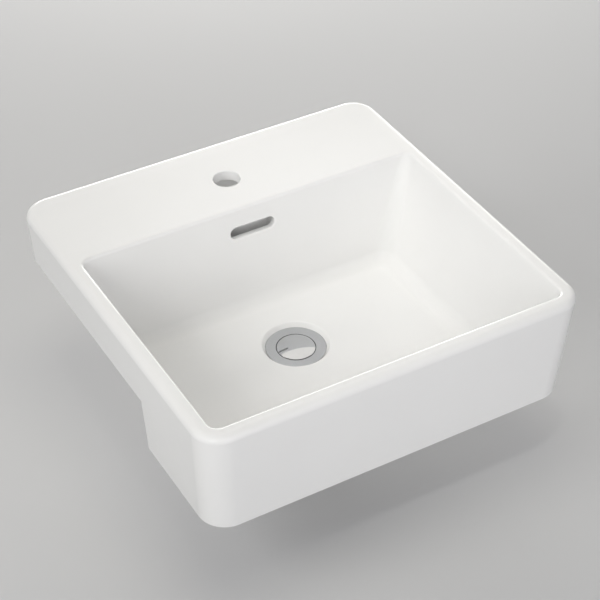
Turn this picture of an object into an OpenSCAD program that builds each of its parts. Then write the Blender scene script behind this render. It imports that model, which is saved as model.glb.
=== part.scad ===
// Semi recessed washbasin in glazed ceramic, with a click plug waste.
// Origin: on the centre line, where the wall face meets the bench top.
// +X to the right, +Y towards the wall, +Z up. Millimetres.

/* [Basin outline] */
// Width over the deck
basin_w = 460; // [440:1:520]
// Depth from the front edge to the wall
basin_d = 460; // [440:1:520]
// Height of the rear rim above the bench top
rim_h = 64; // [50:1:80]
// Height of the front apron, deck to bottom edge
apron_h = 136; // [128:1:160]
// How far the apron stands in front of the bench
overhang = 155; // [120:1:190]
// Corner radius seen from above
corner_r = 31; // [22:1:45]
// Radius of the outer top edge
top_fillet = 8.6; // [4:0.2:12]
// Inward lean of the front and side faces, in degrees
draft = 3.8; // [1:0.1:5]
// Thickness of the skirts and of the apron's return
skirt_t = 10; // [8:0.5:12]
// Thickness of the tap deck
deck_t = 12.5; // [10:0.5:16]

/* [Bowl] */
// Width of the side and front rims at the bowl wall
rim_w = 18.7; // [17:0.1:26]
// Tap deck from the wall to where the bowl edge begins to round
deck_back = 129.4; // [120:0.2:150]
// Radius of the bowl's top edge
rim_fillet = 4.4; // [2:0.2:6]
// Lean of the side and front bowl walls, in degrees
side_slope = 16.1; // [8:0.1:20]
// Lean of the back bowl wall, in degrees
back_slope = 7.8; // [3:0.1:12]
// Depth of the bowl at its back edge
bowl_depth = 131; // [120:1:140]
// Rise of the floor towards the front, per millimetre
floor_fall = 0.022; // [0.01:0.001:0.03]
// How far the floor dishes below its back edge to the waste
plate_drop = 1.3; // [0.5:0.1:3]
// Plan radius of the bowl's corners at the top
bowl_r_top = 10.6; // [8:0.1:16]
// Plan radius of the bowl's corners at the floor
bowl_r_floor = 22; // [19:0.5:34]
// Radius between the bowl walls and the floor
floor_blend = 14; // [8:0.5:16]
// Thickness of the bowl wall
bowl_t = 9; // [8.5:0.5:10]

/* [Tap hole and overflow] */
// Diameter of the tap hole
tap_hole_d = 32; // [28:0.5:36]
// Tap hole centre from the wall
tap_back = 75; // [60:1:85]
// Width of the overflow slot
slot_w = 57; // [40:1:60]
// Height of the overflow slot
slot_h = 14; // [8:0.5:16]
// Depth of the slot's centre below the deck
slot_depth = 31; // [28:0.5:40]
// Ceramic between the bowl and the overflow channel
slot_wall = 7.5; // [6:0.5:10]
// Width of the overflow channel
channel_w = 64; // [62:1:70]
// Clear depth of the overflow channel
channel_d = 14; // [10:0.5:16]
// Ceramic round the overflow channel
channel_wall = 7.5; // [6:0.5:9]

/* [Outlet] */
// Waste centre from the wall
waste_back = 236; // [225:1:260]
// Hole in the ceramic for the waste
outlet_d = 46; // [45:0.5:48]
// Depth of the flange's top face below the floor round it
recess_h = 4.7; // [4:0.1:7]
// Gap between the flange and the foot of its recess
recess_gap = 0.3; // [0.2:0.1:1]
// How far the recess widens on each side, from the flange up to the floor
recess_flare = 3.8; // [3:0.1:5]
// Radius of the recess's upper edge
recess_edge = 2.5; // [1:0.5:3]
// Ceramic between the flange seat and the overflow chamber
seat_t = 8; // [7:0.5:10]
// Clear height of the overflow chamber
chamber_h = 13; // [11:0.5:16]
// Diameter of the overflow chamber
chamber_d = 66; // [60:1:70]
// Ceramic under the overflow chamber
foot_t = 9; // [8:0.5:12]
// Diameter of the outlet boss
boss_d = 88; // [84:1:100]

/* [Waste] */
// Diameter of the flange
flange_d = 70.2; // [66:0.2:71]
// Thickness of the flange at its rim
flange_t = 2.4; // [2:0.1:3.5]
// Diameter of the mouth that holds the plug
throat_d = 46.2; // [45:0.1:48]
// Height of the conical seat
seat_h = 2.8; // [2.4:0.1:3.4]
// Outer diameter of the threaded tail
tail_d = 41.9; // [41:0.1:42.5]
// Bore of the tail
tail_bore_d = 37.2; // [35:0.1:38]
// Length of the waste under its flange
waste_under_l = 87.6; // [82:0.2:118]
// Width of each overflow window in the tail
window_w = 18; // [12:1:24]
// Height of each overflow window
window_h = 10; // [8:0.5:10.5]
// Thickness of the arms that carry the cartridge
arm_t = 3.2; // [2.4:0.2:4.5]

/* [Seals and nuts] */
// Thickness of the seal under the flange
flange_seal_t = 1.6; // [1:0.1:2.5]
// Thickness of the rubber washer under the basin
tail_gasket_t = 5; // [4:0.5:6]
// Outer diameter of the rubber washer
tail_gasket_d = 66; // [60:1:72]
// Thickness of the slip washer
slip_washer_t = 1.5; // [1:0.1:2]
// Outer diameter of the slip washer
slip_washer_d = 64; // [60:1:70]
// Backnut across its flats
backnut_af = 52; // [50:1:58]
// Height of the backnut
backnut_h = 8.5; // [7:0.5:12]

/* [Plug] */
// Gap round the plug cap
cap_gap = 0.65; // [0.3:0.05:1]
// Thickness of the plug cap at its edge
cap_t = 2.6; // [2.4:0.1:3]
// Rise of the cap's domed top
cap_dome = 2.2; // [0.5:0.1:3]
// Diameter of the spigot that centres the plug seal
spigot_d = 30; // [26:0.5:32]
// Thickness of the plug seal
plug_seal_t = 2; // [1.6:0.1:2.6]
// Thickness of the disc that holds the seal
retainer_t = 1.4; // [1:0.1:2]
// Diameter of the cap's threaded boss
cap_boss_d = 12; // [11:0.5:14]
// Height of the nut that clamps the seal
seal_nut_h = 2.2; // [1.8:0.1:3]
// Height of the nut that locks the plug's height
lock_nut_h = 3; // [2:0.2:4]

/* [Click cartridge] */
// How far the plug lifts
lift = 9; // [6:0.5:10]
// Outer diameter of the cartridge barrel
barrel_d = 16; // [15.6:0.2:18]
// Bore of the cartridge barrel
barrel_bore_d = 12.46; // [12:0.02:12.8]
// Diameter of the plunger's rod
rod_d = 9.6; // [9:0.1:10]
// Diameter of the plunger's threaded stud
stud_d = 7.9; // [7:0.1:8]
// Length of the plunger's piston
piston_l = 16.5; // [15:0.5:17]
// Spring space under the piston with the plug closed
spring_l = 13.5; // [12:0.5:16]
// Diameter of the spring wire
spring_wire_d = 0.9; // [0.8:0.05:1]
// Mean diameter of the spring
spring_mean_d = 10.2; // [9.8:0.1:10.4]
// Curls in the spring
spring_curls = 7; // [6:1:8]
// Diameter of the guide pin
guide_pin_d = 2.2; // [1.8:0.1:2.4]

/* [Hidden] */
$fn = 96;

// Clearances and other small sizes
thread_gap = 0.05;     // radial, between a thread and what it screws into
running_gap = 0.08;    // radial, between pieces that slide
press_gap = 0.03;      // radial, between pieces pushed together
seal_gap = 0.3;        // between the plug seal and its seat
stop_gap = 0.3;        // left at the end of the plug's lift
over_press = 2;        // room for the press that opens the latch
past = 2;              // how far a cut runs past the face it cuts
arc_steps = 10;        // steps round each plan corner
blend_steps = 6;       // steps round each edge radius
spring_sides = 6;
spring_rings = 8;      // rings in each curl of the spring

// Forms of the ceramic that have no need to be set
hollow_fillet = 8;     // between the skirts and the underside of the deck
hump_corner = 8;       // long edges of the hump and of the duct
channel_corner = 4;    // corners of the overflow channel
heel_r = 18;           // where the hump turns forward into the duct
duct_inset = 7;        // narrowing of the duct on each side
plate_margin = 7;      // from the recess to where the floor's fall begins
channel_head = 3;      // channel above the slot
dish_step = 4.9;       // from the mouth to the flange's flat underside
dish_foot = 2.2;       // tail below the seat before the dish ends
funnel_gap = 1.1;      // round the dish, in the ceramic
funnel_h = 5.5;

// Heights, from the bench top
deck_z = rim_h;
apron_z = rim_h - apron_h;
hollow_z = deck_z - deck_t;
plate_z = deck_z - bowl_depth - plate_drop;
flange_z = plate_z - recess_h;
seat_z = flange_z - flange_t - flange_seal_t;
chamber_z = seat_z - seat_t;
duct_z = chamber_z - chamber_h;
foot_z = duct_z - foot_t;
tail_z = flange_z - flange_t - waste_under_l;
step_y = overhang - basin_d;
outlet_r = outlet_d / 2;
tail_r = tail_d / 2;
tail_bore_r = tail_bore_d / 2;
throat_r = throat_d / 2;
flange_r = flange_d / 2;
recess_r = flange_r + recess_gap;
hump_d = slot_wall + channel_d + channel_wall;
hump_w = channel_w + 2 * channel_wall;

// Mouth and seat of the waste: the seal rests on the cone a little above its middle
throat_h = cap_t + plug_seal_t * 0.6;
seat_top_z = flange_z - throat_h;
seat_rise = seat_h / (throat_r - tail_bore_r);
dish_r = throat_r + dish_step;
dish_h = throat_h + seat_h + dish_foot;
funnel_r = dish_r + funnel_gap;

// Stack under the basin, downwards
gasket_z = foot_z - tail_gasket_t;
slip_z = gasket_z - slip_washer_t;
backnut_z = slip_z - backnut_h;
gasket_nose = tail_gasket_t / 2;

// Stack of the plug, downwards from the flange's top face
cap_r = throat_r - cap_gap;
cap_under_z = flange_z - cap_t;
spigot_z = cap_under_z - plug_seal_t;
retainer_z = spigot_z - retainer_t;
cap_boss_z = retainer_z - seal_nut_h;
lock_nut_z = cap_boss_z - lock_nut_h;
rod_z = lock_nut_z - 0.5;
stud_top_z = spigot_z + 0.4;
nut_wall = 2.5;               // of the two small nuts, at their flats

// Stack of the cartridge, downwards
collar_t = 2;
collar_spigot = 1;
collar_z = rod_z - 1.5;       // top of the collar
barrel_z = collar_z - collar_t;
piston_z = barrel_z - collar_spigot - stop_gap - lift;
piston_end_z = piston_z - piston_l;
spring_foot_z = piston_end_z - spring_l;
end_spigot = 2.5;
end_cap_t = 2;
barrel_end_z = spring_foot_z - end_spigot;
carrier_h = 9;                // height of the arms and of their boss
carrier_wall = 3;
carrier_z = barrel_end_z + 1;
carrier_top_z = carrier_z + carrier_h;
washer_t = 0.8;
shoulder_z = carrier_top_z + washer_t;
shoulder_t = 2.8;
shoulder_step = 2;
barrel_r = barrel_d / 2;
shoulder_r = barrel_r + shoulder_step;
barrel_bore_r = barrel_bore_d / 2;
piston_r = barrel_bore_r - running_gap;
rod_r = rod_d / 2;
stud_r = stud_d / 2;
spring_core_r = (spring_mean_d - spring_wire_d) / 2 - 1.2;
spring_core_h = 3;
pin_z = piston_z - 5;         // the guide pin, 5 below the piston's top when closed
pin_tip_r = piston_r - 1.35;
track_w = guide_pin_d + 0.4;

// Bowl section at a depth below the deck, grown outwards by t
function bowl_x(depth, t) = basin_w / 2 - rim_w - (depth - rim_fillet) * tan(side_slope) + t;
function bowl_front(depth, t) = rim_w - basin_d + (depth - rim_fillet) * tan(side_slope) - t;
function bowl_back(depth, t) = -deck_back - rim_fillet - (depth - rim_fillet) * tan(back_slope) + t;
function bowl_r(depth, t) = t + bowl_r_top
    + (bowl_r_floor - bowl_r_top) * (depth - rim_fillet) / (bowl_depth - rim_fillet);

// Outer faces at a depth below the deck, drawn in by t
function lean(depth) = max(0, depth - top_fillet) * tan(draft);
function outer_x(depth, t) = basin_w / 2 - lean(depth) - t;
function outer_front(depth, t) = lean(depth) - basin_d + t;

// One level of a loft: a rectangle with round corners, anticlockwise from above.
// rise lifts the level by that much per millimetre towards the front.
function ring(x, y0, y1, r, z, rise = 0) = [
    for (c = [[x - r, y1 - r, 0], [r - x, y1 - r, 90], [r - x, y0 + r, 180], [x - r, y0 + r, 270]])
    for (i = [0 : arc_steps])
    let (a = c[2] + 90 * i / arc_steps, y = c[1] + r * sin(a))
    [c[0] + r * cos(a), y, z + rise * (y1 - y)]
];

function bowl_ring(depth, t, inset, rise = 0) = ring(
    bowl_x(depth, t) - inset, bowl_front(depth, t) + inset, bowl_back(depth, t) - inset,
    bowl_r(depth, t) - inset, deck_z - depth, rise);

// Levels round the bowl's top edge, from where the wall meets the round up to the deck
edge_a = (side_slope + back_slope) / 2;
edge_depth = rim_fillet * (1 - sin(edge_a));
edge_rings = [
    for (i = [0 : blend_steps])
    let (a = edge_a + (90 - edge_a) * i / blend_steps, e = rim_fillet * (cos(edge_a) - cos(a)))
    ring(bowl_x(edge_depth, e), bowl_front(edge_depth, e), bowl_back(edge_depth, e), bowl_r(edge_depth, e),
        deck_z - rim_fillet * (1 - sin(a)))
];
edge_out = rim_fillet * cos(edge_a);

// Level at the flat round the waste
plate_half = recess_r + recess_flare + recess_edge + plate_margin;
function plate_ring(z) = ring(
    plate_half, -waste_back - plate_half, plate_half - waste_back, plate_half - plate_margin, z);

function outer_ring(depth, inset) = ring(
    outer_x(depth, inset), outer_front(depth, inset), -inset, corner_r - inset, deck_z - depth);

// Levels round the floor's edge, from the floor up to the wall. Inside, the floor falls to the back;
// the underside is level.
function floor_rings(t, rise) = [
    for (i = [blend_steps : -1 : 0])
    let (a = 90 * i / blend_steps, b = floor_blend + t)
    bowl_ring(bowl_depth + t - b * (1 - sin(a)), t, b * (1 - cos(a)), rise)
];

// Solid through a list of levels, lowest first
module loft(rings) {
    n = len(rings[0]);
    last = (len(rings) - 1) * n;
    sides = [
        for (k = [0 : n : last - n])
        for (i = [0 : n - 1])
        let (a = k + i, b = k + (i + 1) % n)
        each [[a, a + n, b + n], [a, b + n, b]]
    ];
    floor_face = [for (i = [0 : n - 1]) i];
    top_face = [for (i = [n - 1 : -1 : 0]) last + i];
    polyhedron(points = [for (level = rings) each level], faces = concat([floor_face], sides, [top_face]));
}

// Rectangle with round corners, in the drawing plane
module round_rect(w, h, r) {
    square([w - 2 * r, h], center = true);
    square([w, h - 2 * r], center = true);
    for (x = [-1, 1])
        for (y = [-1, 1])
            translate([x * (w / 2 - r), y * (h / 2 - r)])
                circle(r = r);
}

// Ring of rectangular section, standing on z0
module tube(r_out, r_in, z0, z1) {
    translate([0, 0, z0])
        difference() {
            cylinder(r = r_out, h = z1 - z0);
            translate([0, 0, -past])
                cylinder(r = r_in, h = z1 - z0 + 2 * past);
        }
}

// Hexagon nut with chamfered corners, standing on z0
module hex_nut(across_flats, bore_r, z0, z1) {
    corner = across_flats / 2 / cos(30);
    chamfer = (corner - across_flats / 2) * 0.6;
    difference() {
        intersection() {
            translate([0, 0, z0])
                cylinder(r = corner, h = z1 - z0, $fn = 6);
            rotate_extrude()
                polygon([
                    [0, z0], [across_flats / 2, z0], [corner, z0 + chamfer],
                    [corner, z1 - chamfer], [across_flats / 2, z1], [0, z1]
                ]);
        }
        translate([0, 0, z0 - past])
            cylinder(r = bore_r, h = z1 - z0 + 2 * past);
    }
}

module at_waste() {
    translate([0, -waste_back, 0])
        children();
}

// Frame that follows the leaning back wall: y is out of its face, z is along it, 0 at the deck
module on_back_wall() {
    translate([0, bowl_back(0, 0), deck_z])
        rotate([-back_slope, 0, 0])
            children();
}

// Outside of the basin, with its rounded top edge
module outer_block() {
    loft(concat(
        [outer_ring(apron_h, 0)],
        [for (i = [0 : blend_steps])
            let (a = 90 * i / blend_steps)
            outer_ring(top_fillet * (1 - sin(a)), top_fillet * (1 - cos(a)))]
    ));
}

// What is cut away behind the step, so that the rear rim sits on the bench
module bench_relief() {
    translate([-basin_w, step_y, apron_z - past])
        cube([2 * basin_w, basin_d, apron_h - rim_h + past]);
}

function hollow_ring(depth, t) = ring(
    outer_x(depth, t), outer_front(depth, t), -t, corner_r - t, deck_z - depth);

// Open underside between the skirts, parted by the return that closes the apron's back
module underside_hollow() {
    difference() {
        loft(concat(
            [hollow_ring(apron_h + past, skirt_t)],
            [for (i = [0 : blend_steps])
                let (a = 90 * i / blend_steps)
                hollow_ring(deck_t + hollow_fillet * (1 - sin(a)), skirt_t + hollow_fillet * (1 - cos(a)))]
        ));
        translate([-basin_w, step_y - skirt_t, apron_z - 2 * past])
            cube([2 * basin_w, skirt_t, apron_h + 2 * past]);
    }
}

// Outside of the bowl, which hangs between the skirts
module bowl_shell() {
    loft(concat(
        [plate_ring(plate_z - bowl_t)],
        floor_rings(bowl_t, 0),
        [bowl_ring(deck_t / 2, bowl_t, 0)]
    ));
}

// Inside of the bowl, from the flat round the waste up to the rounded edge and past the deck
module bowl_space() {
    top = bowl_ring(edge_depth, edge_out, 0);
    loft(concat(
        [plate_ring(plate_z)],
        floor_rings(0, floor_fall),
        edge_rings,
        [[for (p = top) [p[0], p[1], deck_z + past]]]
    ));
}

// Side view of the hump and duct, drawn in y and z: down behind the bowl wall at a distance, round
// the heel and forward under the floor
module heel_outline(out, bottom, r) {
    lean_out = out / cos(back_slope);
    heel_z = bottom + r;
    heel_y = bowl_back(deck_z - heel_z, lean_out) - r / cos(back_slope);
    polygon(concat(
        [[-basin_d, deck_z], [-basin_d, bottom]],
        [for (i = [0 : blend_steps])
            let (a = -90 + (90 - back_slope) * i / blend_steps)
            [heel_y + r * cos(a), heel_z + r * sin(a)]],
        [[bowl_back(0, lean_out), deck_z]]
    ));
}

module heel_cut(out, bottom, r) {
    rotate([90, 0, 90])
        linear_extrude(basin_w, center = true)
            heel_outline(out, bottom, r);
}

// Hump down the back of the bowl and duct under the floor that hold the overflow channel
module channel_outside() {
    duct_foot_z = duct_z - channel_wall;
    duct_l = waste_back + bowl_back(deck_z - seat_z, hump_d / cos(back_slope));
    intersection() {
        union() {
            on_back_wall()
                translate([0, hump_d / 2, -basin_w / 2])
                    linear_extrude(basin_w / 2 - deck_t / 2)
                        round_rect(hump_w, hump_d, hump_corner);
            translate([0, duct_l / 2 - waste_back, duct_foot_z])
                linear_extrude(plate_z - bowl_t / 2 - duct_foot_z)
                    round_rect(hump_w, duct_l, hump_corner);
        }
        heel_cut(hump_d, duct_foot_z, heel_r);
    }
}

module channel_inside() {
    channel_top = slot_depth - slot_h / 2 - channel_head;
    duct_w = channel_w - 2 * duct_inset;
    intersection() {
        union() {
            on_back_wall()
                translate([0, slot_wall + channel_d / 2, -basin_w / 2])
                    linear_extrude(basin_w / 2 - channel_top)
                        round_rect(channel_w, channel_d, channel_corner);
            translate([-duct_w / 2, -waste_back, duct_z])
                cube([duct_w, waste_back + bowl_back(deck_z - duct_z, slot_wall + channel_d), chamber_h]);
        }
        heel_cut(slot_wall + channel_d, duct_z, heel_r - channel_wall);
    }
}

module overflow_slot() {
    slot_l = slot_wall + channel_d;
    on_back_wall()
        translate([0, slot_wall + channel_d / 2, -slot_depth / cos(back_slope)])
            rotate([90, 0, 0])
                linear_extrude(slot_l) {
                    square([slot_w - slot_h, slot_h], center = true);
                    for (x = [-1, 1])
                        translate([x * (slot_w - slot_h) / 2, 0])
                            circle(d = slot_h);
                }
}

// Recess for the flange, funnel and hole for the waste, and the overflow chamber round it
module outlet_space() {
    flare_z = flange_z - recess_gap;
    flare_a = atan((plate_z - flare_z) / recess_flare);
    edge_r = recess_r + recess_flare + recess_edge * tan(flare_a / 2);
    edge_z = plate_z - recess_edge;
    edge_steps = 5;
    at_waste() {
        rotate_extrude()
            polygon(concat(
                [
                    [0, seat_z - funnel_h], [outlet_r, seat_z - funnel_h],
                    [funnel_r, seat_z], [recess_r, seat_z], [recess_r, flare_z]
                ],
                [for (i = [edge_steps : -1 : 0])
                    let (a = 90 + flare_a * i / edge_steps)
                    [edge_r + recess_edge * cos(a), edge_z + recess_edge * sin(a)]],
                [[edge_r + past, plate_z + past / 6], [edge_r + past, plate_z + past], [0, plate_z + past]]
            ));
        translate([0, 0, foot_z - past])
            cylinder(r = outlet_r, h = seat_z - foot_z);
        translate([0, 0, duct_z])
            cylinder(d = chamber_d, h = chamber_h);
    }
}

module basin() {
    color("white")
        difference() {
            union() {
                difference() {
                    outer_block();
                    bench_relief();
                    underside_hollow();
                }
                bowl_shell();
                channel_outside();
                at_waste()
                    translate([0, 0, foot_z])
                        cylinder(d = boss_d, h = plate_z - foot_z - bowl_t / 2);
            }
            bowl_space();
            channel_inside();
            overflow_slot();
            outlet_space();
            translate([0, -tap_back, hollow_z - past])
                cylinder(d = tap_hole_d, h = deck_t + 2 * past);
        }
}

// Flanged body, with overflow windows and the arms that carry the cartridge
module waste_body() {
    edge = 0.8;
    window_z = chamber_z - chamber_h / 2;
    color("silver")
        at_waste()
            difference() {
                union() {
                    rotate_extrude()
                        polygon([
                            [throat_r, seat_top_z], [throat_r, flange_z - 0.3],
                            [throat_r + 0.3, flange_z], [flange_r - edge, flange_z],
                            [flange_r - edge * 0.3, flange_z - edge * 0.3], [flange_r, flange_z - edge],
                            [flange_r, flange_z - flange_t], [dish_r, flange_z - flange_t],
                            [tail_r, flange_z - dish_h], [tail_r, tail_z + edge], [tail_r - edge, tail_z],
                            [tail_bore_r, tail_z], [tail_bore_r, seat_top_z - seat_h]
                        ]);
                    for (a = [0, 90])
                        rotate([0, 0, a + 45])
                            translate([-tail_bore_r - 1, -arm_t / 2, carrier_z])
                                cube([2 * (tail_bore_r + 1), arm_t, carrier_h]);
                    translate([0, 0, carrier_z])
                        cylinder(r = barrel_r + carrier_wall, h = carrier_h);
                }
                translate([0, 0, carrier_z - past])
                    cylinder(r = barrel_r + thread_gap, h = carrier_h + 2 * past);
                translate([0, tail_d, window_z])
                    rotate([90, 0, 0])
                        linear_extrude(2 * tail_d)
                            round_rect(window_w, window_h, 3);
            }
}

module flange_seal() {
    color("dimgray")
        at_waste()
            tube(flange_r - 0.8, dish_r + 0.4, seat_z, flange_z - flange_t);
}

// Rubber washer whose nose centres the tail in the ceramic
module tail_gasket() {
    bore_r = tail_r + 0.15;
    nose_r = outlet_r - 0.3;
    color("dimgray")
        at_waste()
            rotate_extrude()
                polygon([
                    [bore_r, gasket_z], [tail_gasket_d / 2 - 2, gasket_z],
                    [tail_gasket_d / 2, gasket_z + 2], [tail_gasket_d / 2, foot_z],
                    [nose_r, foot_z], [nose_r - 0.8, foot_z + gasket_nose], [bore_r, foot_z + gasket_nose]
                ]);
}

module slip_washer() {
    color("whitesmoke")
        at_waste()
            tube(slip_washer_d / 2, tail_r + 0.2, slip_z, gasket_z);
}

module backnut() {
    color("goldenrod")
        at_waste()
            hex_nut(backnut_af, tail_r + thread_gap, backnut_z, slip_z);
}

// Domed cap, its edge level with the flange, with a spigot for its seal and a threaded boss
module plug_cap() {
    edge = 0.5;
    dome_r = cap_r - edge;
    top_z = flange_z + cap_dome;
    ball_r = (dome_r * dome_r + cap_dome * cap_dome) / 2 / cap_dome;
    color("silver")
        at_waste()
            difference() {
                intersection() {
                    rotate_extrude()
                        polygon([
                            [0, cap_boss_z], [cap_boss_d / 2, cap_boss_z], [cap_boss_d / 2, spigot_z],
                            [spigot_d / 2, spigot_z], [spigot_d / 2, cap_under_z], [cap_r, cap_under_z],
                            [cap_r, flange_z - edge], [dome_r, flange_z],
                            [dome_r, top_z + past], [0, top_z + past]
                        ]);
                    translate([0, 0, top_z - ball_r])
                        sphere(r = ball_r, $fn = 192);
                }
                translate([0, 0, cap_boss_z - past])
                    cylinder(r = stud_r + thread_gap, h = past + stud_top_z - cap_boss_z + 0.5);
            }
}

// Rubber ring that closes on the conical seat
module plug_seal() {
    bore_r = spigot_d / 2 + thread_gap;
    seal_r = cap_r - 0.5;
    drop = seal_gap * sqrt(1 + seat_rise * seat_rise);
    face_r = throat_r - (seat_top_z - spigot_z + drop) / seat_rise;
    color("dimgray")
        at_waste()
            rotate_extrude()
                polygon([
                    [bore_r, spigot_z], [face_r, spigot_z],
                    [seal_r, spigot_z + (seal_r - face_r) * seat_rise], [seal_r, cap_under_z],
                    [bore_r, cap_under_z]
                ]);
}

module seal_retainer() {
    color("whitesmoke")
        at_waste()
            tube(spigot_d / 2 + 2, cap_boss_d / 2 + thread_gap, retainer_z, spigot_z);
}

module seal_nut() {
    color("goldenrod")
        at_waste()
            hex_nut(cap_boss_d + 2 * nut_wall, cap_boss_d / 2 + thread_gap, cap_boss_z, retainer_z);
}

module height_locknut() {
    color("goldenrod")
        at_waste()
            hex_nut(stud_d + 2 * nut_wall, stud_r + thread_gap, lock_nut_z, cap_boss_z);
}

// Stud, rod and piston; a track in the piston's side rides on the guide pin
module plunger() {
    track_top = pin_z + over_press;
    track_end = pin_z - lift - stop_gap;
    foot = piston_end_z - spring_core_h;
    color("goldenrod")
        at_waste()
            difference() {
                rotate_extrude()
                    polygon([
                        [0, foot], [spring_core_r, foot], [spring_core_r, piston_end_z],
                        [piston_r, piston_end_z], [piston_r, piston_z], [rod_r, piston_z], [rod_r, rod_z],
                        [stud_r, rod_z], [stud_r, stud_top_z], [0, stud_top_z]
                    ]);
                translate([pin_tip_r - stop_gap, 0, 0])
                    rotate([90, 0, 90])
                        linear_extrude(past + piston_r) {
                            translate([-track_w / 2, track_end])
                                square([track_w, track_top - track_end]);
                            for (z = [track_end, track_top])
                                translate([0, z])
                                    circle(d = track_w, $fn = 48);
                        }
            }
}

// Barrel that screws into the arms, with a shoulder and a hole for the guide pin
module cartridge_barrel() {
    color("whitesmoke")
        at_waste()
            difference() {
                union() {
                    tube(barrel_r, barrel_bore_r, barrel_end_z, barrel_z);
                    tube(shoulder_r, barrel_r - 1, shoulder_z, shoulder_z + shoulder_t);
                }
                translate([barrel_bore_r - 1, 0, pin_z])
                    rotate([0, 90, 0])
                        cylinder(d = guide_pin_d, h = barrel_r, $fn = 48);
            }
}

module barrel_washer() {
    color("peru")
        at_waste()
            tube(shoulder_r + 0.6, barrel_r + thread_gap, carrier_top_z, shoulder_z);
}

module barrel_collar() {
    color("whitesmoke")
        at_waste() {
            tube(barrel_r, rod_r + running_gap, barrel_z, collar_z);
            tube(
                barrel_bore_r - press_gap, rod_r + running_gap,
                barrel_z - collar_spigot, collar_z - collar_t / 2
            );
        }
}

module barrel_end_cap() {
    color("whitesmoke")
        at_waste() {
            translate([0, 0, barrel_end_z - end_cap_t])
                cylinder(r = barrel_r - 0.4, h = end_cap_t);
            translate([0, 0, barrel_end_z - end_cap_t / 2])
                cylinder(r = barrel_bore_r - press_gap, h = end_spigot + end_cap_t / 2);
            translate([0, 0, spring_foot_z - end_spigot / 2])
                cylinder(r = spring_core_r, h = end_spigot / 2 + spring_core_h);
        }
}

module guide_pin() {
    color("silver")
        at_waste()
            translate([pin_tip_r, 0, pin_z])
                rotate([0, 90, 0])
                    cylinder(d = guide_pin_d, h = barrel_r - pin_tip_r - 0.1, $fn = 48);
}

// Centre of the spring wire at ring k, from the foot up
spring_steps = spring_curls * spring_rings;
spring_rise = spring_l - spring_wire_d - 0.1;
spring_path = [
    for (k = [0 : spring_steps])
    let (a = 360 * k / spring_rings)
    [
        spring_mean_d / 2 * cos(a), spring_mean_d / 2 * sin(a),
        spring_foot_z + (spring_l - spring_rise) / 2 + spring_rise * k / spring_steps
    ]
];

module cartridge_spring() {
    slant = atan(spring_rise / (PI * spring_mean_d * spring_curls));
    wire_rings = [
        for (k = [0 : spring_steps])
        let (a = 360 * k / spring_rings)
        [for (j = [0 : spring_sides - 1])
            let (
                b = 360 * j / spring_sides,
                out = spring_wire_d / 2 * cos(b),
                up = spring_wire_d / 2 * sin(b),
                side = up * sin(slant)
            )
            spring_path[k] + [out * cos(a) + side * sin(a), out * sin(a) - side * cos(a), up * cos(slant)]]
    ];
    color("silver")
        at_waste()
            loft(wire_rings);
}

// Least gap between the spring's curls, measured on its own points with the plug closed
spring_self_gap = min([
    for (k = [0 : spring_steps])
    for (j = [k + spring_rings / 2 : 1 : spring_steps])
    norm(spring_path[k] - spring_path[j])
]) - spring_wire_d;
echo(spring_self_gap = spring_self_gap);

basin();
waste_body();
flange_seal();
tail_gasket();
slip_washer();
backnut();
plug_cap();
plug_seal();
seal_retainer();
seal_nut();
height_locknut();
plunger();
cartridge_barrel();
barrel_washer();
barrel_collar();
barrel_end_cap();
cartridge_spring();
guide_pin();
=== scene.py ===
import math

import bpy
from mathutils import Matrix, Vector


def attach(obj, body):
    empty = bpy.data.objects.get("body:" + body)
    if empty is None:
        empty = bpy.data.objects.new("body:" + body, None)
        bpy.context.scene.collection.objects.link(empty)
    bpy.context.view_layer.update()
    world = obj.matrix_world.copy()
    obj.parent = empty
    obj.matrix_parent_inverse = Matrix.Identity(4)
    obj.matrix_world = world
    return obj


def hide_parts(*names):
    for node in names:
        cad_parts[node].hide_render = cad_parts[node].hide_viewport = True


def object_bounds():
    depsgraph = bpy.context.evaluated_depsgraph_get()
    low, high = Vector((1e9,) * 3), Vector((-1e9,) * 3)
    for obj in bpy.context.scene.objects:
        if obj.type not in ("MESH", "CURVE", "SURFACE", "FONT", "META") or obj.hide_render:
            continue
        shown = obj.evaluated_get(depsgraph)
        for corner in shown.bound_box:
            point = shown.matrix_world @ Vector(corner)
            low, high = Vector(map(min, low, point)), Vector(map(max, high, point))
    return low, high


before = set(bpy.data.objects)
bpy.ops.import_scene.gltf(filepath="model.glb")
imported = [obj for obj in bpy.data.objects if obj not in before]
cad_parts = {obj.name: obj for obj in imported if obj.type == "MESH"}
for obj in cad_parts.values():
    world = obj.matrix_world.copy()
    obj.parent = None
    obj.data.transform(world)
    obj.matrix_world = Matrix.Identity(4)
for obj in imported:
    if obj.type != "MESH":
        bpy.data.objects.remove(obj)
cad_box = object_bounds()
MM = 0.001

# Sizes are in millimetres and angles in degrees, unless a name says otherwise.
# Height 0 is the bench top and y = 0 the wall.
WIDTH, DEPTH, DECK = 460.0, 460.0, 64.0
APRON, STEP_Y = 136.0, -305.0
APRON_FOOT = DECK - APRON
CORNER, TOP_ROUND, FOOT_ROUND, STEP_ROUND = 31.0, 8.6, 2.0, 0.8
DRAFT = math.tan(math.radians(3.8))
SKIRT, DECK_THICK, BOWL_THICK = 10.0, 12.5, 9.0
RIM, DECK_BACK, RIM_ROUND = 18.7, 129.4, 4.4
SIDE_LEAN, BACK_LEAN = 16.1, 7.8
SIDE_SLOPE, BACK_SLOPE = math.tan(math.radians(SIDE_LEAN)), math.tan(math.radians(BACK_LEAN))
BOWL_DEEP, FLOOR_FALL, FLOOR_ROUND = 131.0, 0.022, 14.0
CORNER_TOP, CORNER_FLOOR = 10.6, 22.0

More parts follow.
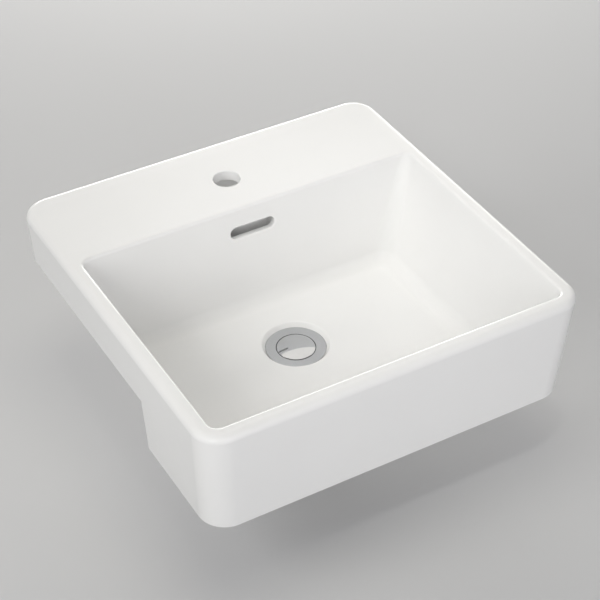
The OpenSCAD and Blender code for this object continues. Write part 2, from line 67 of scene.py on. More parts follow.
# The level plate round the waste, the recess in it and the boss below
WASTE_Y = -236.0
PLATE, PLATE_HALF, PLATE_CORNER = -68.3, 48.7, 41.7
RECESS, RECESS_EDGE, FLARE, FLARE_FOOT, FLARE_TURN = 35.4, 2.5, 3.8, -73.3, 52.77
HOLE, BOSS, BOSS_FOOT = 23, 44, -107
# The outlet's inside, as radius and height: recess, seat, funnel, hole, overflow chamber and hole
OUTLET = (
    (RECESS, -76.4), (34.8, -77), (29.1, -77), (HOLE, -82.5),
    (HOLE, -85), (33, -85), (33, -98), (HOLE, -98))

# The overflow slot in the back wall, and the tap hole in the deck
SLOT_HEIGHT, SLOT_END, SLOT_HALF, SLOT_EDGE = 33, 7, 21.5, 1.6
TAP_Y, TAP_HOLE, TAP_EDGE = -75, 16, 1.2

# The waste: its tail's foot, its bore and thread, and what holds the cartridge
TAIL_FOOT, BORE, FLANGE_TOP = -163, 18.6, -73
THREAD_CREST, THREAD_ROOT, THREAD_PITCH, THREAD_TOP = 20.93, 19.5, 2.309, -79.8
CARTRIDGE_HOLE, ARM_BOSS, ARM_LOW, ARM_HIGH = 8.05, 11, -130, -121

# How finely levels and threads are drawn
ARC, SIDE_CUTS, THREAD_STEPS = 16, 5, 44
SMOOTH_ANGLE = 32
LAMP_REACH_M = 2.2


def object_mode():
    if bpy.context.mode != "OBJECT":
        bpy.ops.object.mode_set(mode="OBJECT")


def only(*pieces):
    """Select these objects alone, with the first one active."""
    object_mode()
    bpy.ops.object.select_all(action="DESELECT")
    for piece in pieces:
        piece.select_set(True)
    bpy.context.view_layer.objects.active = pieces[0]


def settle(piece):
    """Put a piece's place, turn and size into its mesh."""
    only(piece)
    bpy.ops.object.transform_apply(location=True, rotation=True, scale=True)
    return piece


def named(name):
    piece = bpy.context.active_object
    piece.name = name
    piece.data.name = name
    return piece


def pick(piece, kind, test):
    """Enter edit mode with only those vertices, edges or faces selected that pass the test.

    The test gets a vertex's place, an edge's two ends, or a face's middle and normal.
    """
    only(piece)
    mesh = piece.data
    bpy.ops.object.mode_set(mode="EDIT")
    bpy.ops.mesh.select_mode(type=kind)
    bpy.ops.mesh.select_all(action="DESELECT")
    object_mode()
    corner = mesh.vertices
    if kind == "VERT":
        for v in corner:
            v.select = test(v.co / MM)
    elif kind == "EDGE":
        for e in mesh.edges:
            a, b = (corner[i].co / MM for i in e.vertices)
            e.select = test(a, b)
    else:
        for f in mesh.polygons:
            f.select = test(f.center / MM, f.normal)
    bpy.ops.object.mode_set(mode="EDIT")


def block(name, low, high):
    """A box between two corners given in millimetres."""
    centre = [(a + b) / 2 * MM for a, b in zip(low, high)]
    bpy.ops.mesh.primitive_cube_add(size=1, location=centre)
    piece = named(name)
    piece.scale = [(b - a) * MM for a, b in zip(low, high)]
    return settle(piece)


def carve(piece, tool, operation="DIFFERENCE"):
    """Join a tool to a piece, or cut it away, and clear the tool away."""
    only(piece)
    cut = piece.modifiers.new(operation.lower(), "BOOLEAN")
    cut.operation, cut.object, cut.solver = operation, tool, "EXACT"
    bpy.ops.object.modifier_apply(modifier=cut.name)
    only(tool)
    bpy.ops.object.delete()
    return piece


def tidy_mesh(piece, near):
    """Merge what booleans leave lying nearer than this, and point every face outwards."""
    only(piece)
    bpy.ops.object.mode_set(mode="EDIT")
    bpy.ops.mesh.select_all(action="SELECT")
    bpy.ops.mesh.remove_doubles(threshold=near * MM)
    bpy.ops.mesh.dissolve_degenerate(threshold=near * MM)
    bpy.ops.mesh.normals_make_consistent(inside=False)
    object_mode()


# Levels of a loft. A level is one closed outline with the same number of corners as the next.
LEVEL_POINTS = 4 * (ARC + 1 + SIDE_CUTS)
SPREAD = 0.1


def square_level(half, front, back, corner, height, fall=0.0):
    """A rectangle with rounded corners, tilted up towards the front by fall."""
    middle = (front + back) / 2
    place = (0, middle * MM, (height + fall * (back - middle)) * MM)
    bpy.ops.mesh.primitive_plane_add(size=1, location=place, rotation=(-math.atan(fall), 0, 0))
    ring = named("level")
    ring.scale = (2 * half * MM, (back - front) * MM, 1)
    settle(ring)
    bpy.ops.object.mode_set(mode="EDIT")
    bpy.ops.mesh.select_all(action="SELECT")
    bpy.ops.mesh.bevel(affect="VERTICES", offset=corner * MM, segments=ARC)
    bpy.ops.mesh.select_all(action="DESELECT")
    longest = min(2 * half, back - front) - 2 * corner
    pick(ring, "EDGE", lambda a, b: (a - b).length > longest * 0.9)
    bpy.ops.mesh.subdivide(number_cuts=SIDE_CUTS)
    bpy.ops.mesh.select_all(action="SELECT")
    bpy.ops.mesh.delete(type="ONLY_FACE")
    object_mode()
    return ring


def round_level(radius, height, y=WASTE_Y):
    """A circle round the waste's axis, or round another at y."""
    bpy.ops.mesh.primitive_circle_add(
        vertices=LEVEL_POINTS, radius=radius * MM, location=(0, y * MM, height * MM),
        rotation=(0, 0, math.pi / LEVEL_POINTS))
    return settle(named("level"))


def loft(name, rings, closed=False):
    """Bridge each level to the next, then cap the ends, or join them into one ring.

    The levels are spread out upwards while they are bridged, so that two in one plane don't cross.
    """
    for number, ring in enumerate(rings):
        group = ring.vertex_groups.new(name=f"level {number:02d}")
        group.add(range(len(ring.data.vertices)), 1.0, "REPLACE")
        ring.location.z = number * SPREAD
        settle(ring)
    only(*rings)
    bpy.ops.object.join()
    piece = named(name)
    bpy.ops.object.mode_set(mode="EDIT")
    bpy.ops.mesh.select_mode(type="EDGE")
    bpy.ops.mesh.select_mode(type="VERT")
    count = len(rings)

    def choose(*numbers):
        bpy.ops.mesh.select_all(action="DESELECT")
        for number in numbers:
            piece.vertex_groups.active = piece.vertex_groups[f"level {number:02d}"]
            bpy.ops.object.vertex_group_select()

    for number in range(count if closed else count - 1):
        choose(number, (number + 1) % count)
        bpy.ops.mesh.bridge_edge_loops()
    if not closed:
        for number in (0, count - 1):
            choose(number)
            bpy.ops.mesh.edge_face_add()
    for number in range(1, count):
        choose(number)
        bpy.ops.transform.translate(value=(0, 0, -number * SPREAD))
    bpy.ops.mesh.select_all(action="SELECT")
    bpy.ops.mesh.remove_doubles(threshold=1e-7)
    bpy.ops.mesh.normals_make_consistent(inside=False)
    object_mode()
    piece.vertex_groups.clear()
    return piece


def lean(depth):
    """How far the outer face has drawn in this deep below the deck."""
    return max(0.0, depth - TOP_ROUND) * DRAFT


def outer_level(depth, inset):
    """The basin's outline this deep below the deck, drawn in by the draft and the inset."""
    drawn = lean(depth) + inset
    return square_level(
        WIDTH / 2 - drawn, drawn - DEPTH, -inset, CORNER - inset, DECK - depth)


def bowl_level(depth, thick, inset=0.0, fall=0.0, height=None):
    """The bowl's outline this deep below the deck: its inside, or this thick outside it."""
    run = depth - RIM_ROUND
    half = WIDTH / 2 - RIM - run * SIDE_SLOPE + thick - inset
    front = RIM - DEPTH + run * SIDE_SLOPE - thick + inset
    back = -DECK_BACK - RIM_ROUND - run * BACK_SLOPE + thick - inset
    widening = (CORNER_FLOOR - CORNER_TOP) * run / (BOWL_DEEP - RIM_ROUND)
    corner = thick - inset + CORNER_TOP + widening
    return square_level(
        half, front, back, corner, DECK - depth if height is None else height, fall)


def arc(start, stop, steps):
    """Angles in radians, evenly from start to stop in degrees."""
    return [math.radians(start + (stop - start) * i / steps) for i in range(steps + 1)]


def outside_and_deck():
    """From the apron's lower edge up the outer face, over its rounded top and across the deck."""
    rings = [
        outer_level(APRON - FOOT_ROUND * (1 - math.sin(a)), FOOT_ROUND * (1 - math.cos(a)))
        for a in arc(90, 0, 3)
    ]
    rings += [
        outer_level(TOP_ROUND * (1 - math.sin(a)), TOP_ROUND * (1 - math.cos(a)))
        for a in arc(0, 90, 8)
    ]
    return rings


def rim_edge():
    """The bowl's rounded edge, from the deck down to where its wall begins."""
    low = (SIDE_LEAN + BACK_LEAN) / 2
    depth = RIM_ROUND * (1 - math.sin(math.radians(low)))
    rings = []
    for a in reversed(arc(low, 90, 8)):
        out = RIM_ROUND * (math.cos(math.radians(low)) - math.cos(a))
        rings.append(bowl_level(depth, out, height=DECK - RIM_ROUND * (1 - math.sin(a))))
    return rings


def floor_edge(thick, fall):
    """The round between the bowl's walls and its floor, from the wall to the floor."""
    radius = FLOOR_ROUND + thick
    deep = BOWL_DEEP + thick
    return [
        bowl_level(deep - radius * (1 - math.sin(a)), thick, radius * (1 - math.cos(a)), fall)
        for a in arc(0, 90, 8)
    ]


def plate_level(height):
    """The outline of the level plate in which the waste sits."""
    return square_level(
        PLATE_HALF, WASTE_Y - PLATE_HALF, WASTE_Y + PLATE_HALF, PLATE_CORNER, height)


def outlet_inside():
    """The recess, which rounds over into the floor, then the seat, the hole and the chamber."""
    middle = RECESS + FLARE + RECESS_EDGE * math.tan(math.radians(FLARE_TURN / 2))
    rings = [
        round_level(middle - RECESS_EDGE * math.sin(a), PLATE - RECESS_EDGE * (1 - math.cos(a)))
        for a in arc(0, FLARE_TURN, 6)
    ]
    rings.append(round_level(RECESS, FLARE_FOOT))
    foot = ((HOLE, BOSS_FOOT + 1), (HOLE + 1, BOSS_FOOT))
    rings += [round_level(radius, height) for radius, height in OUTLET + foot]
    return rings


def outlet_tool():
    """The same inside as a solid a hair smaller, so that it clears what was added to the boss."""
    hair = 0.03
    rings = [round_level(RECESS - hair, -71)]
    for radius, height in OUTLET + ((HOLE, BOSS_FOOT - 1),):
        chamber_roof = -90 <= height <= -83
        rings.append(round_level(radius - hair, height + (-hair if chamber_roof else hair)))
    return loft("outlet", rings)


def underside():
    """The outlet boss, the shell under the bowl and the hollow between it and the skirts."""
    rings = [round_level(BOSS - 1, BOSS_FOOT), round_level(BOSS, BOSS_FOOT + 1),
             round_level(BOSS, PLATE - BOWL_THICK)]
    rings.append(plate_level(PLATE - BOWL_THICK))
    rings += reversed(floor_edge(BOWL_THICK, 0.0))
    rings.append(bowl_level(DECK_THICK, BOWL_THICK))
    rings += [outer_level(DECK_THICK, SKIRT + 1.2), outer_level(DECK_THICK + 0.8, SKIRT + 0.3),
              outer_level(DECK_THICK + 3, SKIRT), outer_level(APRON - 2, SKIRT),
              outer_level(APRON - 0.6, SKIRT - 0.6), outer_level(APRON, SKIRT - 2)]
    return rings


def make_ceramic():
    """One ring of levels: up the outside, down the bowl, through the outlet and back outside."""
    rings = outside_and_deck() + rim_edge() + floor_edge(0.0, FLOOR_FALL) + [plate_level(PLATE)]
    rings += outlet_inside() + underside()
    return loft("basin_ceramic", rings, closed=True)


def wall_y(height, out):
    """Where a plane stands that lies this far behind the bowl's leaning back wall."""
    wall = -DECK_BACK - RIM_ROUND + RIM_ROUND * BACK_SLOPE - (DECK - height) * BACK_SLOPE
    return wall + out / math.cos(math.radians(BACK_LEAN))


def elbow(name, half, reach, foot, knee, top, near, far, heel, corner, web=0.0):
    """A pipe-like block that runs back under the floor and turns up behind the bowl's back wall.

    It runs from y = reach back to its heel between the heights foot and knee, then up to top
    between the distances near and far behind the wall. The web fills the crook at its knee.
    """
    heel_y, crook = wall_y(foot, far), wall_y(knee, near)
    piece = block(name, (-half, reach, foot), (half, heel_y, knee))
    pick(piece, "VERT", lambda v: v.y > heel_y - 0.1 and v.z > knee - 0.1)
    bpy.ops.transform.translate(value=(0, (wall_y(knee, far) - heel_y) * MM, 0))
    bpy.ops.mesh.select_all(action="SELECT")
    bpy.ops.mesh.bisect(plane_co=(0, crook * MM, 0), plane_no=(0, 1, 0))
    pick(piece, "FACE", lambda c, n: n.z > 0.9 and c.y > crook)
    rise = top - knee
    move = (0, rise * BACK_SLOPE * MM, rise * MM)
    bpy.ops.mesh.extrude_region_move(TRANSFORM_OT_translate={"value": move})

    def at_crook(a, b):
        return abs(a.y - crook) + abs(b.y - crook) + abs(a.z - knee) + abs(b.z - knee) < 0.1

    def at_heel(a, b):
        low = min(a.y, b.y) > heel_y - 0.1 and max(a.z, b.z) < foot + 0.1
        return low and abs(a.x - b.x) > 1

    def along_side(a, b):
        behind = min(a.y - wall_y(a.z, far), b.y - wall_y(b.z, far)) > -heel - 0.5
        upright = min(a.y, b.y) > crook + 1 and behind
        return a.x * b.x > (half - 0.1) ** 2 and (max(a.z, b.z) < foot + 0.1 or upright)

    if web:
        pick(piece, "EDGE", at_crook)
        bpy.ops.mesh.bevel(affect="EDGES", offset=web * MM, segments=1)
    pick(piece, "EDGE", at_heel)
    bpy.ops.mesh.bevel(affect="EDGES", offset=heel * MM, segments=8)
    pick(piece, "EDGE", along_side)
    bpy.ops.mesh.bevel(affect="EDGES", offset=corner * MM, segments=5)
    object_mode()
    return piece


def add_overflow(basin):
    """The hump down the back of the bowl, the channel in it and the slot that feeds it."""
    hump = elbow("overflow_hump", half=39.5, reach=-213, foot=-105.5, knee=-74, top=57,
                 near=4, far=29, heel=16, corner=8, web=11)
    carve(basin, hump, "UNION")
    carve(basin, outlet_tool())
    half, mouth_half = 32, 25
    channel = elbow("overflow_channel", half, reach=-225, foot=-97.5, knee=-85.5, top=43,
                    near=7.5, far=21.5, heel=9, corner=4)
    pick(channel, "VERT", lambda v: v.y < -220)
    bpy.ops.transform.resize(value=(mouth_half / half, 1, 1))
    carve(basin, channel)
    carve(basin, slot_tool())


def slot_level(grow, out):
    """One outline of the overflow slot, out of the wall by this much: a circle pulled apart."""
    corners = 56
    bpy.ops.mesh.primitive_circle_add(
        vertices=corners, radius=(SLOT_END + grow) * MM, location=(0, 0, out * MM),
        rotation=(0, 0, math.pi / corners))
    ring = settle(named("slot level"))
    for side in (-1, 1):
        pick(ring, "VERT", lambda v: v.x * side > 0)
        bpy.ops.transform.translate(value=(side * SLOT_HALF * MM, 0, 0))
    object_mode()
    return ring


def slot_tool():
    """The slot as a solid, with its edge rounded over into the bowl."""
    last, run_on = 10, 3
    turn = math.radians(last)
    # From inside the channel to the wall's far side, then on to where the edge is rounded
    rings = [slot_level(0, -13), slot_level(0, -7.5)]
    rings += [slot_level(SLOT_EDGE * (1 - math.sin(a)), -SLOT_EDGE * (1 - math.cos(a)))
              for a in reversed(arc(last, 90, 6))]
    rings.append(slot_level(SLOT_EDGE * (1 - math.sin(turn)) + run_on, run_on * math.tan(turn)))
    tool = loft("slot", rings)
    tool.rotation_euler = (math.radians(90 - BACK_LEAN), 0, 0)
    tool.location = (0, wall_y(SLOT_HEIGHT, 0) * MM, SLOT_HEIGHT * MM)
    return settle(tool)


def tap_hole_tool():
    """The tap hole as a solid, with its edge rounded over onto the deck."""
    last, run_on = 10, 3
    turn = math.radians(last)
    # From well below the deck to its underside, then on to where the edge is rounded
    rings = [round_level(TAP_HOLE, 40, TAP_Y), round_level(TAP_HOLE, 51.4, TAP_Y)]
    rings += [round_level(TAP_HOLE + TAP_EDGE * (1 - math.sin(a)),
                          DECK - TAP_EDGE * (1 - math.cos(a)), TAP_Y)
              for a in reversed(arc(last, 90, 5))]
    rings.append(round_level(TAP_HOLE + run_on + TAP_EDGE * (1 - math.sin(turn)),
                             DECK + run_on * math.tan(turn), TAP_Y))
    return loft("tap_hole", rings)


def make_return():
    """The wall that closes the apron's back, between the skirts and the bowl."""
    foot_half, top_half = 216.5, 225
    wall = block("apron_return", (-foot_half, STEP_Y - 10, -71.6), (foot_half, STEP_Y - 0.2, 53))
    pick(wall, "VERT", lambda v: v.z > 0)
    bpy.ops.transform.resize(value=(top_half / foot_half, 1, 1))
    object_mode()
    middle = loft("bowl_middle", [bowl_level(5, 4.5)] + floor_edge(4.5, FLOOR_FALL / 2))
    return carve(wall, middle)


def cut_step(basin):
    """Behind the step the skirts are cut off at the bench. The tool leaves room for the bowl."""
    tool = block("bench", (-260, STEP_Y, -90), (260, 40, 0))
    carve(tool, block("bowl_room", (-209, -400, -120), (209, -50, 30)))
    carve(basin, tool)


def soften_step(basin):
    """Round the outer edges that the step's cut leaves, along the bench and down the apron."""
    def on_side(v):
        return abs(v.x) > WIDTH / 2 - lean(DECK - v.z) - 0.1

    def on_back(v):
        return v.y > -0.1 or (v.y > -CORNER and abs(v.x) > WIDTH / 2 - CORNER)

    def on_bench(v):
        return abs(v.z) < 0.02 and v.y > STEP_Y - 0.1 and (on_side(v) or on_back(v))

    def on_end(v):
        return abs(v.y - STEP_Y) < 0.02 and v.z < 0.02 and on_side(v)

    pick(basin, "EDGE", lambda a, b: on_bench(a) and on_bench(b) or on_end(a) and on_end(b))
    bpy.ops.mesh.bevel(affect="EDGES", offset=STEP_ROUND * MM, segments=3, clamp_overlap=True)
    object_mode()


def leave_bare(basin, material):
    """The faces against the wall and the bench, and the apron's foot, carry no glaze."""
    basin.data.materials.append(material)

    def bare(c, n):
        on_wall = n.y > 0.99 and c.y > -0.1
        at_foot = abs(c.z) < 0.1 or abs(c.z - APRON_FOOT) < 0.3
        return on_wall or n.z < -0.95 and at_foot

    pick(basin, "FACE", bare)
    basin.active_material_index = 1
    bpy.ops.object.material_slot_assign()
    object_mode()


def thread(name, crest, root, pitch, low, high):
    """A solid screw thread: a section is drawn, wound up a helix, and its ends are cut off."""
    slope, flat = 0.36 * pitch, 0.14 * pitch
    bpy.ops.mesh.primitive_plane_add(size=MM)
    piece = named(name)
    bpy.ops.object.mode_set(mode="EDIT")
    bpy.ops.mesh.select_all(action="SELECT")
    bpy.ops.mesh.merge(type="CENTER")
    bpy.ops.transform.translate(value=(root * MM, 0, (low - 2 * pitch) * MM))
    for out, up in ((crest - root, slope), (0, flat), (root - crest, slope), (0, flat)):
        bpy.ops.mesh.extrude_vertices_move(
            TRANSFORM_OT_translate={"value": (out * MM, 0, up * MM)})
    object_mode()
    wind = piece.modifiers.new("wind", "SCREW")
    wind.steps, wind.render_steps = THREAD_STEPS, THREAD_STEPS
    wind.screw_offset, wind.iterations = pitch * MM, math.ceil((high - low) / pitch) + 4
    wind.use_merge_vertices, wind.merge_threshold = True, 0.001 * MM
    bpy.ops.object.modifier_apply(modifier="wind")
    for height, way in ((low, -1), (high, 1)):
        bpy.ops.object.mode_set(mode="EDIT")
        bpy.ops.mesh.select_all(action="SELECT")
        bpy.ops.mesh.remove_doubles(threshold=0.001 * MM)
        bpy.ops.mesh.bisect(
            plane_co=(0, 0, height * MM), plane_no=(0, 0, way), threshold=1e-7,
            use_fill=True, clear_outer=True)
        bpy.ops.mesh.select_all(action="SELECT")
        bpy.ops.mesh.normals_make_consistent(inside=False)
        object_mode()
    piece.location = (0, WASTE_Y * MM, 0)
    return settle(piece)


def turned(name, outline, closed=False):
    """A turned solid from its outline, as radius and height: with its ends filled, or a ring."""
    return loft(name, [round_level(radius, height) for radius, height in outline], closed)


def rounded(radius, height, edge, start, stop, steps=4):
    """Points of a rounded edge in an outline, whose round has its middle at radius and height."""
    return [(radius + edge * math.cos(a), height + edge * math.sin(a))
            for a in arc(start, stop, steps)]


def make_waste():
    """The flanged waste: turned fitting, thread round its tail, four arms inside, two windows."""
    edge, fall, foot = 0.4, 0.3, TAIL_FOOT + 0.6
    # Outside: the tail, its neck, the cone that seats in the funnel, the flange's rim and top
    outside = [(19.2, foot), (19.2, -84.2), (22.4, -80.8), (28, -75.4)]
    outside += rounded(34.9, -75.2, 0.2, 270, 360, 2)
    outside += rounded(34.7, FLANGE_TOP - edge, edge, 0, 90)
    # Inside: the mouth's edge, the throat, the plug's seat and the bore
    inside = rounded(23.5, FLANGE_TOP - fall - edge, edge, 90, 180)
    inside += [(23.1, -76.8), (BORE, -79.6), (BORE, foot)]
    body = turned("waste_fitting", outside + inside, closed=True)
    tail = thread(
        "tail_thread", THREAD_CREST, THREAD_ROOT, THREAD_PITCH, TAIL_FOOT, THREAD_TOP)
    lead_in = [(18, -163.5), (19.6, -163.5), (21.6, -161.5), (22, -90), (22, -78), (18, -78)]
    carve(tail, turned("lead_in", lead_in), "INTERSECT")
    sunk = BORE + 0.3
    carve(tail, turned("tail_bore", [(sunk + edge, -164), (sunk, -162.7), (sunk, -77)]))
    carve(body, tail, "UNION")
    chamfer = 0.6
    boss = [(ARM_BOSS - chamfer, ARM_LOW), (ARM_BOSS, ARM_LOW + chamfer),
            (ARM_BOSS, ARM_HIGH - chamfer), (ARM_BOSS - chamfer, ARM_HIGH)]
    carve(body, turned("arm_boss", boss), "UNION")
    for turn in (45, 135):
        arm = block("arm", (-sunk, -1.6, ARM_LOW + 0.2), (sunk, 1.6, ARM_HIGH - 0.2))
        pick(arm, "EDGE", lambda a, b: abs(a.y) + abs(b.y) > 3.1 and abs(a.x - b.x) > 1)
        bpy.ops.mesh.bevel(affect="EDGES", offset=chamfer * MM, segments=3)
        object_mode()
        arm.rotation_euler = (0, 0, math.radians(turn))
        arm.location = (0, WASTE_Y * MM, 0)
        carve(body, settle(arm), "UNION")
    carve(body, turned("cartridge_hole", [(CARTRIDGE_HOLE, -133), (CARTRIDGE_HOLE, -118)]))
    window = block("window", (-9, WASTE_Y - 30, -96.5), (9, WASTE_Y + 30, -86.5))
    pick(window, "EDGE", lambda a, b: abs(a.y - b.y) > 1)
    bpy.ops.mesh.bevel(affect="EDGES", offset=3 * MM, segments=6)
    object_mode()
    carve(body, window)
    tidy_mesh(body, 0.001)
    return body


def finish(piece, material, node, body):
    """Give a piece its material and its shading, put it under its body, and hide the CAD node it
    stands in for.
    """
    piece.data.materials.append(material)
    only(piece)
    bpy.ops.object.shade_smooth_by_angle(angle=math.radians(SMOOTH_ANGLE))
    even = piece.modifiers.new("even", "WEIGHTED_NORMAL")
    even.keep_sharp = True
    bpy.ops.object.modifier_apply(modifier="even")
    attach(piece, body)
    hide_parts(node)


def stand_camera():
    """The camera stands where the photograph was taken."""
    yaw, pitch = 30.0117, 39.0345
    data = bpy.data.cameras.new("camera")
    data.lens, data.sensor_width = 105.895, 36.0
    data.clip_end = 50
    camera = bpy.data.objects.new("camera", data)
    bpy.context.scene.collection.objects.link(camera)
    camera.location = (-0.7655, -1.5704, 1.2433)
    camera.rotation_euler = (math.radians(90 - pitch), 0, math.radians(-yaw))
    bpy.context.scene.camera = camera


def aimed_lamp(name, kind, target, azimuth, height, power, tint, mirrored):
    """A lamp that looks at its target: azimuth turns from the front to the right."""
    data = bpy.data.lights.new(name, kind)
    data.energy, data.color = power, tint
    lamp = bpy.data.objects.new(name, data)
    bpy.context.scene.collection.objects.link(lamp)
    turn, up = math.radians(azimuth), math.radians(height)
    way = Vector((math.sin(turn) * math.cos(up), -math.cos(turn) * math.cos(up), math.sin(up)))
    lamp.location = Vector(target) + way * LAMP_REACH_M
    lamp.rotation_euler = (-way).to_track_quat("-Z", "Y").to_euler()
    lamp.visible_glossy = mirrored
    return data


def softbox(name, azimuth, height, power, tint, mirrored=True, size=1.3):
    """A round lamp. One that isn't mirrored gives light but doesn't show in glaze or chrome."""
    data = aimed_lamp(name, "AREA", (0, -0.23, 0), azimuth, height, power, tint, mirrored)
    data.shape, data.size = "DISK", size


def spot(name, azimuth, height, power, tint, target, radius):
    """A soft pool of light, of this radius at its target."""
    data = aimed_lamp(name, "SPOT", target, azimuth, height, power, tint, False)
    data.spot_size = 2 * math.atan(radius / LAMP_REACH_M)
    data.spot_blend, data.shadow_soft_size = 1.0, 0.25


def new_material(name):
    """A material with its nodes, links, shader and the place on the object."""
    material = bpy.data.materials.new(name)
    material.use_nodes = True
    nodes, links = material.node_tree.nodes, material.node_tree.links
    shader = nodes["Principled BSDF"]
    where = nodes.new("ShaderNodeTexCoord").outputs["Object"]
    return material, nodes, links, shader, where


def mottle(nodes, links, where, scale, dark, light):
    """A soft cloudy change of colour over the surface."""
    low, high = 0.35, 0.65
    noise = nodes.new("ShaderNodeTexNoise")
    noise.inputs["Scale"].default_value = scale
    noise.inputs["Detail"].default_value = 4
    links.new(where, noise.inputs["Vector"])
    ramp = nodes.new("ShaderNodeValToRGB")
    ramp.color_ramp.elements[0].position, ramp.color_ramp.elements[1].position = low, high
    ramp.color_ramp.elements[0].color = (*dark, 1)
    ramp.color_ramp.elements[1].color = (*light, 1)
    links.new(noise.outputs["Fac"], ramp.inputs["Fac"])
    return ramp.outputs["Color"]


def ripple(nodes, links, where, shader, scale, strength, distance, detail=2):
    """A slight unevenness of the surface."""
    noise = nodes.new("ShaderNodeTexNoise")
    noise.inputs["Scale"].default_value = scale
    noise.inputs["Detail"].default_value = detail
    links.new(where, noise.inputs["Vector"])
    bump = nodes.new("ShaderNodeBump")
    bump.inputs["Strength"].default_value = strength
    bump.inputs["Distance"].default_value = distance
    links.new(noise.outputs["Fac"], bump.inputs["Height"])
    links.new(bump.outputs["Normal"], shader.inputs["Normal"])


def glaze():
    material, nodes, links, shader, where = new_material("glaze")
    cloud = mottle(nodes, links, where, 9, (0.893, 0.891, 0.884), (0.905, 0.903, 0.896))
    links.new(cloud, shader.inputs["Base Color"])
    shader.inputs["Roughness"].default_value = 0.12
    shader.inputs["IOR"].default_value = 1.52
    ripple(nodes, links, where, shader, 45, 0.05, 0.0008)
    return material


def biscuit():
    """The bare fired clay where the glaze is wiped off."""
    material, nodes, links, shader, where = new_material("biscuit")
    cloud = mottle(nodes, links, where, 90, (0.77, 0.75, 0.71), (0.81, 0.79, 0.75))
    links.new(cloud, shader.inputs["Base Color"])
    shader.inputs["Roughness"].default_value = 0.85
    ripple(nodes, links, where, shader, 900, 0.35, 0.0004, 4)
    return material


def chrome():
    material, nodes, links, shader, where = new_material("chrome")
    cloud = mottle(nodes, links, where, 30, (0.55, 0.56, 0.575), (0.58, 0.59, 0.605))
    links.new(cloud, shader.inputs["Base Color"])
    shader.inputs["Metallic"].default_value = 1.0
    shader.inputs["Roughness"].default_value = 0.05
    ripple(nodes, links, where, shader, 160, 0.01, 0.0002)
    return material


def plain_finish(name, dark, light, scale, rough, metal=0.0, grain=0.2):
    """A finish with a cloudy colour and a fine grain."""
    material, nodes, links, shader, where = new_material(name)
    links.new(mottle(nodes, links, where, scale, dark, light), shader.inputs["Base Color"])
    shader.inputs["Metallic"].default_value = metal
    shader.inputs["Roughness"].default_value = rough
    ripple(nodes, links, where, shader, 500, grain, 0.0002, 3)
    return material


def dress(node, material):
    """Give a piece that keeps its solid's shape a better material."""
    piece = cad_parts[node]
    piece.data.materials.clear()
    piece.data.materials.append(material)


def make_floor(height):
    bpy.ops.mesh.primitive_plane_add(size=12, location=(0, 0, height))
    floor = named("floor")
    settle(floor)
    material, nodes, links, shader, where = new_material("pale floor")
    cloud = mottle(nodes, links, where, 0.8, (0.61, 0.61, 0.615), (0.63, 0.63, 0.635))
    links.new(cloud, shader.inputs["Base Color"])
    shader.inputs["Roughness"].default_value = 0.9
    floor.data.materials.append(material)


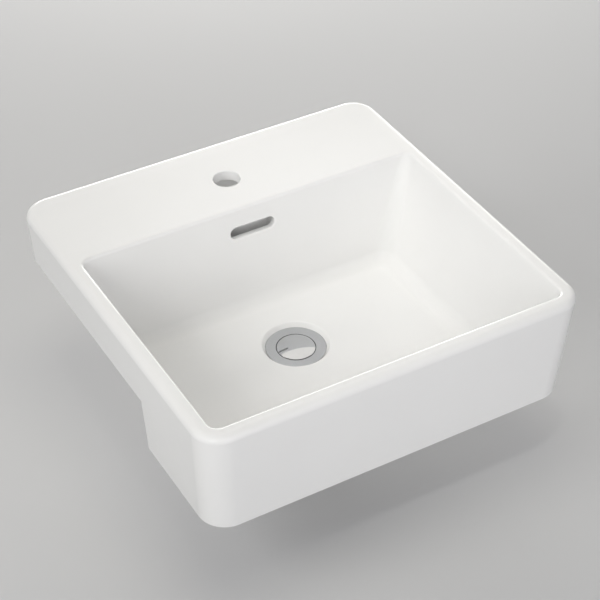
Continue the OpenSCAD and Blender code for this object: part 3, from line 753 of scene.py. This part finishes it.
def light_studio():
    """Even light from all round, a brighter back for what is mirrored, and the lamps."""
    scene = bpy.context.scene
    scene.view_settings.view_transform = "Standard"
    world = bpy.data.worlds.new("studio")
    scene.world = world
    world.use_nodes = True
    nodes, links = world.node_tree.nodes, world.node_tree.links
    air = nodes["Background"]
    air.inputs["Color"].default_value = (0.99, 0.99, 1.02, 1)
    air.inputs["Strength"].default_value = 0.32
    mirrored = nodes.new("ShaderNodeBackground")
    mirrored.inputs["Color"].default_value = (1.0, 0.97, 0.92, 1)
    way = nodes.new("ShaderNodeSeparateXYZ")
    links.new(nodes.new("ShaderNodeTexCoord").outputs["Generated"], way.inputs["Vector"])
    behind = nodes.new("ShaderNodeMapRange")
    behind.interpolation_type = "SMOOTHSTEP"
    for name, value in (("From Min", -0.1), ("From Max", 0.3), ("To Min", 0.3), ("To Max", 1.2)):
        behind.inputs[name].default_value = value
    links.new(way.outputs["Y"], behind.inputs["Value"])
    links.new(behind.outputs["Result"], mirrored.inputs["Strength"])
    both = nodes.new("ShaderNodeMixShader")
    links.new(nodes.new("ShaderNodeLightPath").outputs["Is Glossy Ray"], both.inputs[0])
    links.new(air.outputs[0], both.inputs[1])
    links.new(mirrored.outputs[0], both.inputs[2])
    links.new(both.outputs[0], nodes["World Output"].inputs["Surface"])
    softbox("back lamp", 160, 15, 18.5, (1.02, 1.0, 0.97))
    softbox("right back lamp", 135, 15, 8.5, (1.01, 1.02, 0.97))
    softbox("left lamp", 270, 36, 12.5, (1.0, 1.0, 0.98), False)
    softbox("low front lamp", 0, 12, 9.5, (0.99, 0.99, 1.02))
    softbox("window lamp", 315, 20, 6.3, (1.01, 1.01, 0.97), size=0.9)
    softbox("top lamp", 0, 90, 5.6, (1.07, 1.04, 0.87), False)
    spot("front spot", 0, 50, 15, (1.0, 1.0, 0.98), (0.15, -0.2, -0.03), 0.25)
    spot("left spot", 315, 36, 52, (1.0, 0.98, 0.98), (0.17, -0.165, -0.05), 0.19)
    spot("corner spot", 325, 76, 68, (1.0, 1.0, 1.0), (0.1, -0.19, -0.067), 0.22)


basin = make_ceramic()
add_overflow(basin)
carve(basin, make_return(), "UNION")
cut_step(basin)
carve(basin, tap_hole_tool())
tidy_mesh(basin, 0.01)
soften_step(basin)
finish(basin, glaze(), "basin", "fixed")
leave_bare(basin, biscuit())
shine = chrome()
finish(make_waste(), shine, "waste_body", "fixed")
black_rubber = plain_finish("black rubber", (0.02, 0.02, 0.021), (0.035, 0.035, 0.036), 80, 0.6)
white_plastic = plain_finish(
    "white plastic", (0.74, 0.74, 0.72), (0.8, 0.8, 0.78), 40, 0.35, grain=0.1)
turned_brass = plain_finish("turned brass", (0.62, 0.42, 0.14), (0.75, 0.54, 0.22), 120, 0.3, 1.0)
red_fibre = plain_finish("red fibre", (0.32, 0.06, 0.03), (0.48, 0.12, 0.06), 300, 0.8, grain=0.5)
spring_steel = plain_finish("spring steel", (0.45, 0.45, 0.46), (0.58, 0.58, 0.6), 200, 0.28, 1.0)
dress("plug_cap", shine)
for node in ("flange_seal", "tail_gasket", "plug_seal"):
    dress(node, black_rubber)
for node in ("slip_washer", "seal_retainer", "cartridge_barrel", "barrel_collar", "barrel_end_cap"):
    dress(node, white_plastic)
for node in ("backnut", "seal_nut", "height_locknut", "plunger"):
    dress(node, turned_brass)
dress("barrel_washer", red_fibre)
for node in ("cartridge_spring", "guide_pin"):
    dress(node, spring_steel)

stand_camera()
light_studio()
make_floor(cad_box[0][2])
